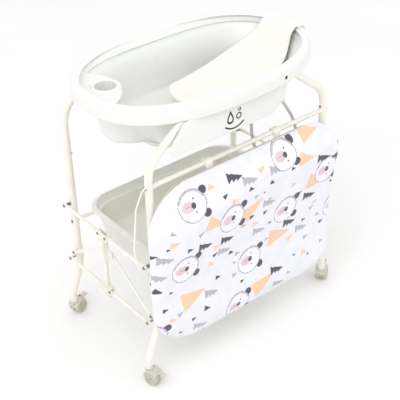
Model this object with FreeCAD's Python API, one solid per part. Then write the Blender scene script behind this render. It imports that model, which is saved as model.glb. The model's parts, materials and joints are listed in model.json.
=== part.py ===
# Folding baby bath and changing stand: tub on a folding tube frame with casters,
# storage tray, side linkages and a changing pad that hangs on the front.
# Millimetres. +X towards the head end, +Y to the back, +Z up, origin on the floor
# in the middle of the frame.
import FreeCAD, Part
import math
import os
from FreeCAD import Vector

# ---- frame arches -------------------------------------------------------
tubeRadius = 12.5          # leg tube
tubeWall = 1.3
archY = 224.0              # front arch at -archY, back arch at +archY
legX = 359.0               # upright part of the legs
footX = legX + 43.0        # the feet are splayed
footZ = 58.0               # open lower end of the leg tube
footStraightZ = 90.0       # the tube is upright again below this height
kneeZ = 200.0
shoulderZ = 813.0
topX = legX - 150.0        # half length of the level top tube
topZ = 930.0               # axis of the top tube
footBend = 60.0
kneeBend = 150.0
shoulderBend = 100.0
topBend = 60.0
frontButtonZ = 757.0       # spring button of the tube joint, below the shoulder bend
backButtonZ = 652.0
buttonRadius = 4.0
barBoltRadius = 5.0        # bolts that hold the cross bars
pivotHeadRadius = 6.0      # pivot bolts of the links and braces

# ---- wire rail on the front left leg ------------------------------------
wireRadius = 2.5
wireTabRadius = 6.0
wireRoute = [(7, 766), (35, 752), (61, 700), (77, 560), (65, 476), (39, 446), (8, 440)]   # out from the leg, z
wireBends = [14, 60, 120, 90, 20]

# ---- cross bars ---------------------------------------------------------
padBarRadius = 8.0
padBarZ = 743.0
trayBarRadius = 7.0
trayBarZ = 390.0
barWall = 1.2

# ---- side linkages ------------------------------------------------------
linkRadius = 6.0
linkEyeRadius = 8.0
linkEyeThick = 8.0
linkFlat = 26.0            # flattened length at each end of a link
eyeGap = 0.5               # side play of the link eyes
plateThick = 3.0           # pivot plates of bracket and pedal
upperZ = 465.0
lowerZ = 244.0
pinRadius = 3.0
runningGap = 0.05          # radial gap of a pin that turns in its hole
looseGap = 0.4             # radial gap of a pivot that is only a guide
braceThick = 5.0
braceWidth = 12.0
braceLowZ = 262.0
braceHighZ = 395.0
postRadius = 8.0
linkX = legX + tubeRadius + postRadius + 12.5    # plane of the links and the posts
centreOffset = postRadius + 12.0                 # link pivots on each side of the post
sleeveWall = 6.0
sleeveLowZ = 371.0
sleeveHighZ = 447.0
slideGap = 0.3
clampRadius = tubeRadius + 3.5
braceX = legX + clampRadius + 3.0
clampLowZ = 234.0
clampHighZ = 271.0

# ---- casters ------------------------------------------------------------
wheelRadius = 25.0
wheelWidth = 16.5
wheelGap = 4.5             # half of the gap between the twin wheels
trail = 18.0               # axle behind the swivel axis
stemRadius = tubeRadius - tubeWall - runningGap
axleRadius = 3.0
brakePinRadius = 1.5
brakeAhead = 22.5          # brake hinge ahead of the axle
brakeAbove = 26.5          # and above it
brakeHalf = 6.8            # half width of the lever
pedalHalf = 10.5
pedalRadius = 7.0
pedalBore = 4.2
hoodWall = 3.0
hoodGap = 2.0              # hood clear of the wheels
casterYaw = {"front_left": -75.0, "back_left": 15.0, "front_right": 35.0, "back_right": 160.0}

# ---- tub ----------------------------------------------------------------
rimA = legX + 51.0         # the rim reaches past the legs
rimB = archY + tubeRadius + 31.5
rimPower = 2.4
rimTopZ = 973.0
rimLowZ = 920.0
rimDeck = 6.0
rimEdgeRound = 5.0
shellWall = 4.0
basinTopA = rimA - 30.0
basinTopB = rimB - 64.0
basinLowA = rimA - 148.0
basinLowB = 176.0
basinTopPower = 2.8
basinLowPower = 3.6        # squarer towards the floor
basinFoot = 22.0           # height of the round foot of the wall
basinLowZ = 780.0
lobeA = rimA - 58.0        # narrower ends of the basin
lobeB = 120.0
lobePower = 2.5
lobeZ = 800.0
shelfZ = 948.0
shelfMidX = 8.0 - rimA      # the shelf is the end of a round boss
shelfMidY = 70.0
shelfRadius = 142.0
cupX = 104.0 - rimA
cupY = 46.0
cupRadius = 33.0
cupDepth = 76.0
drainX = 128.0
drainY = -128.0
drainBore = 9.0
apronY = archY + tubeRadius + 4.5     # inner face of the flat aprons below the rim
apronThick = 4.0
apronOutline = [(200, 52), (200, 1), (236, 1), (296, -74), (280, -97), (-110, -97), (-160, -60), (-176, 1),
                (-176, 52)]                  # towards the foot end, above the skirt's lower edge
apronBends = [4, 4, 12, 14, 12, 34, 34, 12, 4]
archClearance = 3.0
flangeRadius = 17.0
flangeThick = 5.0
plugRadius = 14.0

# ---- bath support -------------------------------------------------------
supportThick = 5.0
supportPower = 2.2
supportStations = [(472, 838, 50, 15), (440, 835, 82, 15), (374, 831, 100, 15), (280, 834, 116, 15),
                   (195, 855, 116, 15), (120, 888, 102, 13), (80, 922, 80, 10), (62, 956, 72, 6),
                   (42, 980, 71, 3), (14, 983, 74, 0)]   # short of the rim's end, z, half width, dish

# ---- drain hose ---------------------------------------------------------
hoseRadius = 5.5
hoseRoute = [(128, -128, 750), (128, -128.5, 705), (138, -134, 645), (158, -140, 583), (192, -146, 533),
             (238, -150, 513), (284, -151, 531), (312, -149, 577), (320, -146, 635), (306, -144, 692),
             (276, -146, 741), (247, -150, 782)]

# ---- tray ---------------------------------------------------------------
trayRimZ = 440.0
trayLowZ = 330.0
trayRimA = 322.0
trayRimB = archY + 12.0    # the walls lie against the tray bars
trayLowA = 288.0
trayLowB = archY - 31.0
trayWall = 3.5
trayLip = 16.0
trayCorner = 90.0
trayLipThick = 5.0

# ---- changing pad -------------------------------------------------------
padMidX = -9.0
padHalfX = legX + 32.0
padLowZ = 114.0
padHighZ = 742.0
padCorner = 150.0
boardBackY = -archY - tubeRadius - 3.5
boardThick = 6.0
boardInset = 44.0
boardTopInset = 12.0
padThick = 60.0            # at the upper raised side
padEdgeThick = 12.0
padValleyThick = 20.0
padLowThick = 33.0         # at the lower raised side
padCrestDown = 92.0        # upper raised side below the top edge
padCrestUp = 76.0          # lower raised side above the bottom edge
padValleyUp = 206.0
clipX = 140.0
clipWidth = 24.0
clipRadius = padBarRadius + 5.5
clipThick = 5.0
strapLength = 58.0
screwRadius = 2.0
screwLength = 9.0
screwHeadRadius = 4.5
screwDrops = (30.0, 48.0)  # the two screws of a clip, below the bar


# ---- helpers ------------------------------------------------------------
def save(name, solid):
    """Write one node."""
    solid.exportStep("parts/" + name + ".step")
    print(name, "solids", len(solid.Solids), "volume", round(solid.Volume), "valid", solid.isValid())


def filletedPath(points, radii):
    """Straight runs joined by tangent arcs; radii has one value for each inner point."""
    edges = []
    start = points[0]
    for i in range(1, len(points) - 1):
        before = (points[i - 1] - points[i]).normalize()
        after = (points[i + 1] - points[i]).normalize()
        halfTurn = (math.pi - before.getAngle(after)) / 2
        reach = radii[i - 1] * math.tan(halfTurn)
        bisector = (before + after).normalize()
        centre = points[i] + bisector * (radii[i - 1] / math.cos(halfTurn))
        middle = centre - bisector * radii[i - 1]
        arcStart = points[i] + before * reach
        arcEnd = points[i] + after * reach
        edges.append(Part.LineSegment(start, arcStart).toShape())
        edges.append(Part.Arc(arcStart, middle, arcEnd).toShape())
        start = arcEnd
    edges.append(Part.LineSegment(start, points[-1]).toShape())
    return Part.Wire(edges)


def rod(path, radius):
    """Round bar along a path."""
    first = path.Edges[0]
    direction = first.tangentAt(first.FirstParameter)
    begin = first.valueAt(first.FirstParameter)
    circle = Part.Wire([Part.makeCircle(radius, begin, direction)])
    return path.makePipeShell([circle], True, False)


def pipe(path, radius, wall):
    """Hollow tube along a path."""
    return rod(path, radius).cut(rod(path, radius - wall))


def cylinderX(radius, x0, x1, y, z):
    """Cylinder along X between two x values."""
    return Part.makeCylinder(radius, x1 - x0, Vector(x0, y, z), Vector(1, 0, 0))


def block(x0, x1, y0, y1, z0, z1):
    """Box from its two corners."""
    return Part.makeBox(x1 - x0, y1 - y0, z1 - z0, Vector(x0, y0, z0))


def mirroredX(shape):
    """The same piece on the other side of the YZ plane."""
    return shape.mirror(Vector(0, 0, 0), Vector(1, 0, 0))


def mirroredY(shape):
    """The same piece on the other side of the XZ plane."""
    return shape.mirror(Vector(0, 0, 0), Vector(0, 1, 0))


def onSide(shape, side):
    """Left pieces are modelled; right ones are their mirror image."""
    return shape if side == "left" else mirroredX(shape)


def onEnd(shape, end):
    """Front pieces are modelled; back ones are their mirror image."""
    return shape if end == "front" else mirroredY(shape)


def ovalWire(a, b, power, z, xMid=0.0, count=28):
    """Superellipse of half lengths a and b at height z."""
    points = []
    for i in range(count):
        t = 2 * math.pi * i / count
        c = math.cos(t)
        s = math.sin(t)
        x = math.copysign(abs(c) ** (2 / power), c) * a
        y = math.copysign(abs(s) ** (2 / power), s) * b
        points.append(Vector(xMid + x, y, z))
    curve = Part.BSplineCurve()
    curve.interpolate(Points=points, PeriodicFlag=True)
    return Part.Wire([curve.toShape()])


def ovalPrism(a, b, power, z0, z1):
    """Upright prism on a superellipse."""
    return Part.Face(ovalWire(a, b, power, z0)).extrude(Vector(0, 0, z1 - z0))


def roundedRectWire(a, b, corner, z):
    """Rectangle of half lengths a and b with round corners at height z."""
    s = math.sqrt(0.5) * corner
    edges = []
    for i, (sx, sy) in enumerate([(1, 1), (-1, 1), (-1, -1), (1, -1)]):
        centre = Vector(sx * (a - corner), sy * (b - corner), z)
        alongX = centre + Vector(sx * corner, 0, 0)
        alongY = centre + Vector(0, sy * corner, 0)
        middle = centre + Vector(sx * s, sy * s, 0)
        begin, finish = (alongX, alongY) if i % 2 == 0 else (alongY, alongX)
        edges.append(Part.Arc(begin, middle, finish).toShape())
    wireEdges = []
    for i in range(4):
        wireEdges.append(edges[i])
        here = edges[i].Vertexes[-1].Point
        there = edges[(i + 1) % 4].Vertexes[0].Point
        wireEdges.append(Part.LineSegment(here, there).toShape())
    return Part.Wire(wireEdges)


# ---- frame --------------------------------------------------------------
def archPath(y):
    """Centre line of one arch, from the left foot to the right foot."""
    half = [(-footX, footZ), (-footX, footStraightZ), (-legX, kneeZ), (-legX, shoulderZ), (-topX, topZ)]
    points = [Vector(x, y, z) for x, z in half]
    points += [Vector(-x, y, z) for x, z in reversed(half)]
    bends = [footBend, kneeBend, shoulderBend, topBend]
    return filletedPath(points, bends + bends[::-1])


def arch(y):
    return pipe(archPath(y), tubeRadius, tubeWall)


def crossBar(y, z, radius):
    """Tube between the legs of one arch, its ends saddled onto them."""
    bar = cylinderX(radius, -legX, legX, y, z).cut(cylinderX(radius - barWall, -legX, legX, y, z))
    for x in (-legX, legX):
        bar = bar.cut(Part.makeCylinder(tubeRadius, 100, Vector(x, y, z - 50)))
    return bar.Solids[0]


def legClamps(y):
    """Collars on both legs that carry the lower pivots."""
    collars = []
    for x in (-legX, legX):
        collar = Part.makeCylinder(clampRadius, clampHighZ - clampLowZ, Vector(x, y, clampLowZ))
        collar = collar.cut(Part.makeCylinder(tubeRadius, clampHighZ - clampLowZ, Vector(x, y, clampLowZ)))
        collars.append(collar.cut(pinHoles(x, y)))
    return Part.makeCompound(collars)


def pinHoles(x, y):
    """Seats of the two pivot bolts in a collar."""
    side = -1 if x < 0 else 1
    low = min(side * clampRadius * 1.2, 0) + x
    high = max(side * clampRadius * 1.2, 0) + x
    lower = cylinderX(pinRadius, low, high, y, lowerZ)
    upper = cylinderX(pinRadius, low, high, y, braceLowZ)
    return lower.fuse(upper)


def bolt(y, z, headStart, shankStart):
    """Pivot bolt on a left leg: shank outward along -X, domed head at its end."""
    shank = cylinderX(pinRadius, -headStart, -shankStart, y, z)
    head = Part.makeCylinder(pivotHeadRadius, 3.0, Vector(-headStart, y, z), Vector(-1, 0, 0))
    dome = Part.makeSphere(1.2 * pivotHeadRadius, Vector(-headStart + 3.4, y, z))
    return shank.fuse(head.common(dome))


def frameBolts(y, buttonZ, outerZ):
    """Pivot bolts, bar bolts and tube-joint buttons of one arch, both legs."""
    linkOuter = linkX + linkEyeThick / 2 + eyeGap
    linkInner = linkX - linkEyeThick / 2 - eyeGap
    braceOuter = braceX + braceThick / 2 + eyeGap
    legSurface = legX + tubeRadius
    upper = bolt(y, upperZ, linkOuter, legSurface)
    spacer = cylinderX(pivotHeadRadius, -linkInner, -legSurface - 0.6, y, upperZ)
    pieces = [upper.fuse(spacer)]
    pieces.append(bolt(y, lowerZ, linkOuter, legSurface))
    pieces.append(bolt(y, braceLowZ, braceOuter, legSurface))
    for z in outerZ:
        head = Part.makeCylinder(barBoltRadius, 4.0, Vector(1.2 - legSurface, y, z), Vector(-1, 0, 0))
        pieces.append(head.cut(Part.makeCylinder(tubeRadius, 40, Vector(-legX, y, z - 20))))
    button = Part.makeCylinder(buttonRadius, 3.5, Vector(-legX + tubeRadius - 1, y, buttonZ), Vector(1, 0, 0))
    pieces.append(button.cut(Part.makeCylinder(tubeRadius, 40, Vector(-legX, y, buttonZ - 20))))
    return Part.makeCompound(pieces + [mirroredX(p) for p in pieces])


def sideWireRail():
    """Bent rod on the outside of the front left leg."""
    y = -archY - tubeRadius - wireRadius
    points = [Vector(-legX - out, y, z) for out, z in wireRoute]
    wire = rod(filletedPath(points, wireBends), wireRadius)
    for end in (points[0], points[-1]):
        tab = Part.makeCylinder(wireTabRadius, 2 * wireRadius, end - Vector(0, wireRadius, 0), Vector(0, 1, 0))
        wire = wire.fuse(tab)
    return wire


# ---- side linkages ------------------------------------------------------
def link(yLeg, yCentre, z, legGap, centreGap):
    """Round bar with flattened eyes at both ends, lying along Y."""
    low = min(yLeg, yCentre)
    high = max(yLeg, yCentre)
    length = high - low - 2 * linkFlat
    body = Part.makeCylinder(linkRadius, length, Vector(-linkX, low + linkFlat, z), Vector(0, 1, 0))
    half = linkEyeThick / 2
    for y, gap in ((yLeg, legGap), (yCentre, centreGap)):
        eye = cylinderX(linkEyeRadius, -linkX - half, -linkX + half, y, z)
        towards = 1 if y == low else -1
        y0, y1 = sorted((y, y + towards * (linkFlat + linkEyeRadius)))
        strap = block(-linkX - half, -linkX + half, y0, y1, z - linkRadius, z + linkRadius)
        body = body.fuse(eye).fuse(strap)
    for y, gap in ((yLeg, legGap), (yCentre, centreGap)):
        body = body.cut(cylinderX(pinRadius + gap, -linkX - 20, -linkX + 20, y, z))
    return body


def brace(yLeg, yCentre):
    """Flat strut from the leg collar up to the lock sleeve."""
    half = braceThick / 2
    rise = braceHighZ - braceLowZ
    run = yCentre - yLeg
    length = math.hypot(rise, run)
    bar = block(-braceX - half, -braceX + half, 0, length, -braceWidth / 2, braceWidth / 2)
    for y in (0, length):
        bar = bar.fuse(cylinderX(braceWidth / 2 + 1, -braceX - half, -braceX + half, y, 0))
    bar = bar.cut(cylinderX(pinRadius + runningGap, -braceX - 10, -braceX + 10, 0, 0))
    bar = bar.fuse(cylinderX(5.0, -braceX + half, -braceX + half + 2, length, 0))
    bar.rotate(Vector(0, 0, 0), Vector(1, 0, 0), math.degrees(math.atan2(rise, run)))
    bar.translate(Vector(0, yLeg, braceLowZ))
    return bar


def centrePost():
    """Upright tube between the bracket and the pedal."""
    outer = Part.makeCylinder(postRadius, upperZ - 15 - lowerZ, Vector(-linkX, 0, lowerZ))
    inner = Part.makeCylinder(postRadius - barWall, upperZ - 15 - lowerZ, Vector(-linkX, 0, lowerZ))
    return outer.cut(inner)


def pivotPlates(z0, z1, zPin):
    """Two plates with the pivot seats for the links of both arches."""
    inner = linkEyeThick / 2 + eyeGap
    plates = None
    for x0 in (-linkX - inner - plateThick, -linkX + inner):
        plate = block(x0, x0 + plateThick, -centreOffset - 10, centreOffset + 10, z0, z1)
        corners = [e for e in plate.Edges if abs(e.tangentAt(e.FirstParameter).x) > 0.9]
        plate = plate.makeFillet(7.0, corners)
        plates = plate if plates is None else plates.fuse(plate)
    for y in (-centreOffset, centreOffset):
        plates = plates.cut(cylinderX(pinRadius, -linkX - 20, -linkX + 20, y, zPin))
    return plates


def jointBracket():
    """Channel on top of the post that holds the inner ends of the upper links."""
    plates = pivotPlates(upperZ - 15, upperZ + 13, upperZ)
    inner = linkEyeThick / 2 + eyeGap
    web = block(-linkX - inner, -linkX + inner, -10, 10, upperZ - 15, upperZ - 10.5)
    return plates.fuse(web)


def footPedal():
    """Pedal plate round the foot of the post, with the lower link seats and the end boss."""
    plateZ = lowerZ + 12.5
    plates = pivotPlates(lowerZ - 12, plateZ + 1, lowerZ)
    plate = Part.makeCylinder(27.0, 6.0, Vector(-linkX - 6, 0, plateZ))
    plate = plate.common(block(-linkX - 40, -linkX + 9.5, -40, 40, 0, 1000))
    edges = [e for e in plate.Edges if abs(e.BoundBox.ZMax - plateZ - 6) < 0.01 and e.BoundBox.ZLength < 0.01]
    plate = plate.makeFillet(2.0, edges)
    boss = Part.makeCylinder(postRadius + 3, 50.0, Vector(-linkX, 0, plateZ - 44))
    pedal = plates.fuse(plate).fuse(boss)
    bore = Part.makeCylinder(postRadius, 200, Vector(-linkX, 0, lowerZ))
    return pedal.cut(bore)


def lockSleeve():
    """Plastic housing that slides on the post and takes the upper ends of the braces."""
    outer = -linkX - postRadius - sleeveWall
    inner = -linkX + postRadius + 2
    half = postRadius + 5
    body = block(outer, inner, -half, half, sleeveLowZ, sleeveHighZ)
    upright = [e for e in body.Edges if abs(e.tangentAt(e.FirstParameter).z) > 0.9]
    body = body.makeFillet(5.0, upright)
    ear = block(inner - 3.4, inner, -31, 31, braceHighZ - 17, braceHighZ + 15)
    corners = [e for e in ear.Edges if abs(e.tangentAt(e.FirstParameter).x) > 0.9]
    ear = ear.makeFillet(8.0, corners)
    rib = block(outer - 1.5, outer + 1, -8, 8, sleeveLowZ + 8, sleeveHighZ - 8)
    body = body.fuse(ear).fuse(rib)
    return body.cut(Part.makeCylinder(postRadius + slideGap, 200, Vector(-linkX, 0, sleeveLowZ - 50)))


def jointRivets():
    """Rivets of the bracket and of the pedal."""
    outer = linkEyeThick / 2 + eyeGap + plateThick
    rivets = []
    for y in (-centreOffset, centreOffset):
        for z in (upperZ, lowerZ):
            pin = cylinderX(pinRadius, -linkX - outer, -linkX + outer, y, z)
            head = Part.makeCylinder(5.0, 2.0, Vector(-linkX - outer, y, z), Vector(-1, 0, 0))
            rivets.append(pin.fuse(head))
    return Part.makeCompound(rivets)


# ---- casters ------------------------------------------------------------
def placed(shape, corner):
    """Turn a caster piece to its yaw and put it under its leg."""
    end, side = corner.split("_")
    shape = shape.copy()
    shape.rotate(Vector(0, 0, 0), Vector(0, 0, 1), casterYaw[corner])
    shape.translate(Vector(-footX if side == "left" else footX, -archY if end == "front" else archY, 0))
    return shape


def cylinderY(radius, y0, y1, x, z):
    """Cylinder along Y between two y values."""
    return Part.makeCylinder(radius, y1 - y0, Vector(x, y0, z), Vector(0, 1, 0))


def casterHousing():
    """Stem, neck, plate between the wheels and hood over them."""
    width = wheelGap + wheelWidth
    stem = Part.makeCylinder(stemRadius, 22.0, Vector(0, 0, footZ - 3))
    neck = Part.makeCylinder(14.0, 6.5, Vector(0, 0, footZ - 7))
    plate = cylinderY(wheelRadius - 4, -wheelGap + 0.5, wheelGap - 0.5, trail, wheelRadius)
    web = block(-8, trail, -wheelGap + 0.5, wheelGap - 0.5, wheelRadius, footZ - 3)
    hood = cylinderY(wheelRadius + hoodGap + hoodWall, -width, width, trail, wheelRadius)
    hood = hood.cut(cylinderY(wheelRadius + hoodGap, -width, width, trail, wheelRadius))
    keep = block(-60, trail + 21, -60, 60, wheelRadius + 8, 80)
    hood = hood.common(keep)
    bridge = block(-8, trail, -wheelGap + 0.5, wheelGap - 0.5, 2 * wheelRadius - 6, 2 * wheelRadius + 4)
    housing = stem.fuse(neck).fuse(plate).fuse(web).fuse(hood).fuse(bridge)
    for y0 in (-9.6, 7.1):
        ear = block(trail + 15, brakeX() + 4, y0, y0 + 2.5, brakeZ() - 4.5, brakeZ() + 3.5)
        housing = housing.fuse(ear)
    housing = housing.cut(cylinderY(brakePinRadius + runningGap, -12, 12, brakeX(), brakeZ()))
    return housing.cut(cylinderY(axleRadius + runningGap, -30, 30, trail, wheelRadius))


def brakeX():
    return trail + brakeAhead


def brakeZ():
    return wheelRadius + brakeAbove


def casterWheels():
    """The two wheels of one caster."""
    wheels = []
    for y0 in (wheelGap, -wheelGap - wheelWidth):
        wheel = cylinderY(wheelRadius, y0, y0 + wheelWidth, trail, wheelRadius)
        rims = [e for e in wheel.Edges if e.Closed]
        wheel = wheel.makeFillet(3.0, rims)
        outerY = y0 + wheelWidth if y0 > 0 else y0
        recess = cylinderY(wheelRadius - 10, outerY - 2, outerY + 2, trail, wheelRadius)
        wheels.append(wheel.cut(recess).cut(cylinderY(axleRadius, -40, 40, trail, wheelRadius)))
    return Part.makeCompound(wheels)


def casterAxle():
    """Axle that carries both wheels."""
    reach = wheelGap + wheelWidth - 2.5
    return cylinderY(axleRadius, -reach, reach, trail, wheelRadius)


def casterBrake():
    """Foot lever of the wheel brake, hinged on the hood."""
    knuckle = cylinderY(3.4, -brakeHalf, brakeHalf, brakeX(), brakeZ())
    pin = cylinderY(brakePinRadius, -9.4, 9.4, brakeX(), brakeZ())
    tongue = block(brakeX(), brakeX() + 17, -brakeHalf, brakeHalf, brakeZ() + 0.4, brakeZ() + 3.4)
    pad = cylinderY(pedalRadius, -pedalHalf, pedalHalf, brakeX() + 18, brakeZ() - 4.4)
    pad = pad.cut(cylinderY(pedalBore, -pedalHalf, pedalHalf, brakeX() + 18, brakeZ() - 4.4))
    pad = pad.common(block(brakeX() + 12, brakeX() + 40, -20, 20, brakeZ() - 4, brakeZ() + 10))
    return knuckle.fuse(pin).fuse(tongue).fuse(pad)


# ---- tub ----------------------------------------------------------------
def basinForm(inset):
    """Main part of the basin and its narrower ends, as one solid smaller by inset all round."""
    low = basinLowZ + inset
    main = [ovalWire(basinLowA - 16 - inset, basinLowB - 16 - inset, basinLowPower, low),
            ovalWire(basinLowA - 4 - inset, basinLowB - 4 - inset, basinLowPower, low + 7)]
    main += wallWires((basinLowA, basinLowB, basinLowPower, low + basinFoot),
                      (basinTopA, basinTopB, basinTopPower, rimTopZ + 2), inset)
    lobeLow = lobeZ + inset
    lobe = [ovalWire(lobeA - 42 - inset, lobeB - 30 - inset, lobePower + 0.1, lobeLow - 8),
            ovalWire(lobeA - 14 - inset, lobeB - 6 - inset, lobePower + 0.1, lobeLow + 8)]
    lobe += wallWires((lobeA, lobeB, lobePower, lobeLow + 45),
                      (basinTopA - 3, basinTopB - 24, lobePower, rimTopZ + 2), inset)
    return Part.makeLoft(main, True, False).fuse(Part.makeLoft(lobe, True, False))


def wallWires(low, high, inset, steps=4):
    """Evenly spaced sections of a straight sloping wall; low and high are (a, b, power, z)."""
    wires = []
    for i in range(steps + 1):
        a, b, power, z = [u + (v - u) * i / steps for u, v in zip(low, high)]
        wires.append(ovalWire(a - inset, b - inset, power, z))
    return wires


def apron():
    """Flat panel under the front of the rim that hides the top tube of the arch."""
    corners = [Vector(-out, -apronY, rimLowZ + up) for out, up in apronOutline]
    middle = (corners[0] + corners[-1]) / 2
    outline = filletedPath([middle] + corners + [middle], apronBends)
    panel = Part.Face(outline).extrude(Vector(0, -apronThick, 0))
    return panel.common(block(-500, 500, -500, 500, 0, rimTopZ - rimEdgeRound))


def tubShell():
    """Oval tub with an overhanging rim, a shelf with a cup recess and a drain bore."""
    rim = ovalPrism(rimA, rimB, rimPower, rimLowZ, rimTopZ)
    top = [e for e in rim.Edges if abs(e.BoundBox.ZMin - rimTopZ) < 0.01]
    rim = rim.makeFillet(rimEdgeRound, top)
    under = ovalPrism(rimA - shellWall, rimB - shellWall, rimPower, rimLowZ - 1, rimTopZ - rimDeck)
    basin = basinForm(0).common(block(-500, 500, -500, 500, 0, rimTopZ - 1))
    tub = rim.cut(under).fuse(basin)
    hollow = basinForm(shellWall)
    boss = Part.makeCylinder(shelfRadius, shellWall, Vector(shelfMidX, shelfMidY, shelfZ - shellWall))
    shelf = hollow.common(boss)
    cup = Part.makeCylinder(cupRadius + 3, cupDepth, Vector(cupX, cupY, shelfZ - cupDepth))
    cup = cup.common(basinForm(1))
    tub = tub.cut(hollow).fuse(shelf).fuse(cup)
    for end in ("front", "back"):
        tub = tub.fuse(onEnd(apron(), end))
        tub = tub.cut(onEnd(rod(archPath(-archY), tubeRadius + archClearance), end))
    tub = tub.cut(Part.makeCylinder(cupRadius, 200, Vector(cupX, cupY, shelfZ - cupDepth + 3)))
    return tub.cut(Part.makeCylinder(drainBore, 80, Vector(drainX, drainY, basinLowZ - 40)))


def drainSpigot():
    """Threaded spigot under the drain bore, ending in the hose nipple."""
    flange = Part.makeCylinder(flangeRadius, flangeThick, Vector(drainX, drainY, basinLowZ - flangeThick))
    throat = Part.makeCylinder(drainBore - runningGap, flangeThick + shellWall,
                               Vector(drainX, drainY, basinLowZ - flangeThick))
    nipple = Part.makeCone(hoseRadius + 2.5, hoseRadius + 1, 25, Vector(drainX, drainY, basinLowZ - 30))
    body = Part.makeCylinder(11.0, 12, Vector(drainX, drainY, basinLowZ - 17))
    solid = flange.fuse(throat).fuse(nipple).fuse(body)
    return solid.cut(Part.makeCylinder(4.0, 80, Vector(drainX, drainY, basinLowZ - 40)))


def drainPlug():
    """Stopper in the drain, on the basin floor."""
    cap = Part.makeCylinder(plugRadius, 3.0, Vector(drainX, drainY, basinLowZ + shellWall + 0.4))
    stem = Part.makeCylinder(3.4, 12.0 + shellWall, Vector(drainX, drainY, basinLowZ - 10))
    knob = Part.makeCylinder(5.0, 9.0, Vector(drainX, drainY, basinLowZ + shellWall + 3.4))
    return cap.fuse(stem).fuse(knob)


def hoseArcRadii(points):
    """Each bend takes 0.45 of its shorter run."""
    radii = []
    for i in range(1, len(points) - 1):
        before = (points[i - 1] - points[i])
        after = (points[i + 1] - points[i])
        halfTurn = (math.pi - before.getAngle(after)) / 2
        radii.append(0.45 * min(before.Length, after.Length) / math.tan(halfTurn))
    return radii


def drainHose():
    """Soft hose from the spigot, hanging in a loop and up again to its clip."""
    points = [Vector(*p) for p in hoseRoute]
    radii = hoseArcRadii(points)
    path = filletedPath(points, radii)
    hose = rod(path, hoseRadius)
    print("hose length", round(path.Length, 1), "radii", [round(r) for r in radii])
    print("hose volume over section times length", round(hose.Volume / (math.pi * hoseRadius ** 2 * path.Length), 4))
    return hose


def hoseClip():
    """Stopper and clip that hold the free end of the hose against the tub wall."""
    end = Vector(*hoseRoute[-1])
    before = Vector(*hoseRoute[-2])
    direction = (end - before).normalize()
    plug = Part.makeCylinder(hoseRadius + 2, 14, end, direction)
    arm = block(end.x - 5, end.x + 5, end.y + 2, end.y + 24, end.z + 6, end.z + 14)
    return plug.fuse(arm)


def bathSupport():
    """Curved recliner that lies in the tub and hangs over the head end of its rim."""
    sections = [supportSection(rimA - short, z, half, dish) for short, z, half, dish in supportStations]
    return Part.makeLoft(sections, True, False)


def supportSection(x, z, half, dish):
    """Closed cross section of the recliner: low in the middle, raised at both sides."""
    curves = []
    for drop in (0, supportThick):
        points = [Vector(x, share * half, z + dish * abs(share) ** supportPower - drop)
                  for share in (-1, -0.5, 0, 0.5, 1)]
        curve = Part.BSplineCurve()
        curve.interpolate(points)
        curves.append(curve.toShape())
    sides = [Part.LineSegment(curves[0].Vertexes[i].Point, curves[1].Vertexes[i].Point).toShape() for i in (0, 1)]
    return Part.Wire(Part.sortEdges([curves[0], sides[1], curves[1], sides[0]])[0])


# ---- tray ---------------------------------------------------------------
def trayForm(inset, extraTop):
    """Tapered body of the tray, smaller by inset, running extraTop past the rim."""
    slopeA = (trayRimA - trayLip - trayLowA) / (trayRimZ - trayLowZ)
    slopeB = (trayRimB - trayLowB) / (trayRimZ - trayLowZ)
    topA = trayRimA - trayLip + slopeA * extraTop - inset
    topB = trayRimB + slopeB * extraTop - inset
    low = roundedRectWire(trayLowA - inset, trayLowB - inset, trayCorner - 25, trayLowZ + inset)
    high = roundedRectWire(topA, topB, trayCorner, trayRimZ + extraTop)
    return Part.makeLoft([low, high], True, True)


def storageTray():
    """Open tray whose sloping walls rest between the two tray bars."""
    body = trayForm(0, 0)
    lip = Part.Face(roundedRectWire(trayRimA, trayRimB, trayCorner, trayRimZ - trayLipThick))
    lip = lip.extrude(Vector(0, 0, trayLipThick))
    return body.fuse(lip).cut(trayForm(trayWall, 4))


# ---- changing pad -------------------------------------------------------
def padOutline(halfX, lowZ, highZ, corner, y0, thick):
    """Upright plate with round corners, facing -Y; y0 is its back face."""
    middle = (lowZ + highZ) / 2
    wire = roundedRectWire(halfX, (highZ - lowZ) / 2, corner, 0)
    plate = Part.Face(wire).extrude(Vector(0, 0, thick))
    plate.rotate(Vector(0, 0, 0), Vector(1, 0, 0), 90)
    plate.translate(Vector(padMidX, y0, middle))
    return plate


def padCushion():
    """Padded cover: a raised side along the top, a shallow valley and a lower raised side."""
    back = boardBackY - boardThick - slideGap
    profile = [(padHighZ, padEdgeThick), (padHighZ - padCrestDown, padThick),
               (padLowZ + padValleyUp, padValleyThick), (padLowZ + padCrestUp, padLowThick),
               (padLowZ, padEdgeThick)]
    x0 = padMidX - padHalfX - 1
    front = Part.BSplineCurve()
    front.interpolate(easedProfile(profile, x0, back))
    front = front.toShape()
    top = Vector(x0, back, padHighZ)
    bottom = Vector(x0, back, padLowZ)
    wire = Part.Wire([front, Part.LineSegment(front.Vertexes[-1].Point, bottom).toShape(),
                      Part.LineSegment(bottom, top).toShape(),
                      Part.LineSegment(top, front.Vertexes[0].Point).toShape()])
    body = Part.Face(wire).extrude(Vector(2 * padHalfX + 2, 0, 0))
    return body.common(padOutline(padHalfX, padLowZ, padHighZ, padCorner, back, padThick + 1))


def easedProfile(knots, x, back, steps=4):
    """Points of the front of the pad: each stretch eases between its two thicknesses."""
    points = [Vector(x, back - knots[0][1], knots[0][0])]
    for (z0, t0), (z1, t1) in zip(knots, knots[1:]):
        for i in range(1, steps + 1):
            share = i / steps
            ease = (1 - math.cos(math.pi * share)) / 2
            points.append(Vector(x, back - t0 - (t1 - t0) * ease, z0 + (z1 - z0) * share))
    return points


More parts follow.
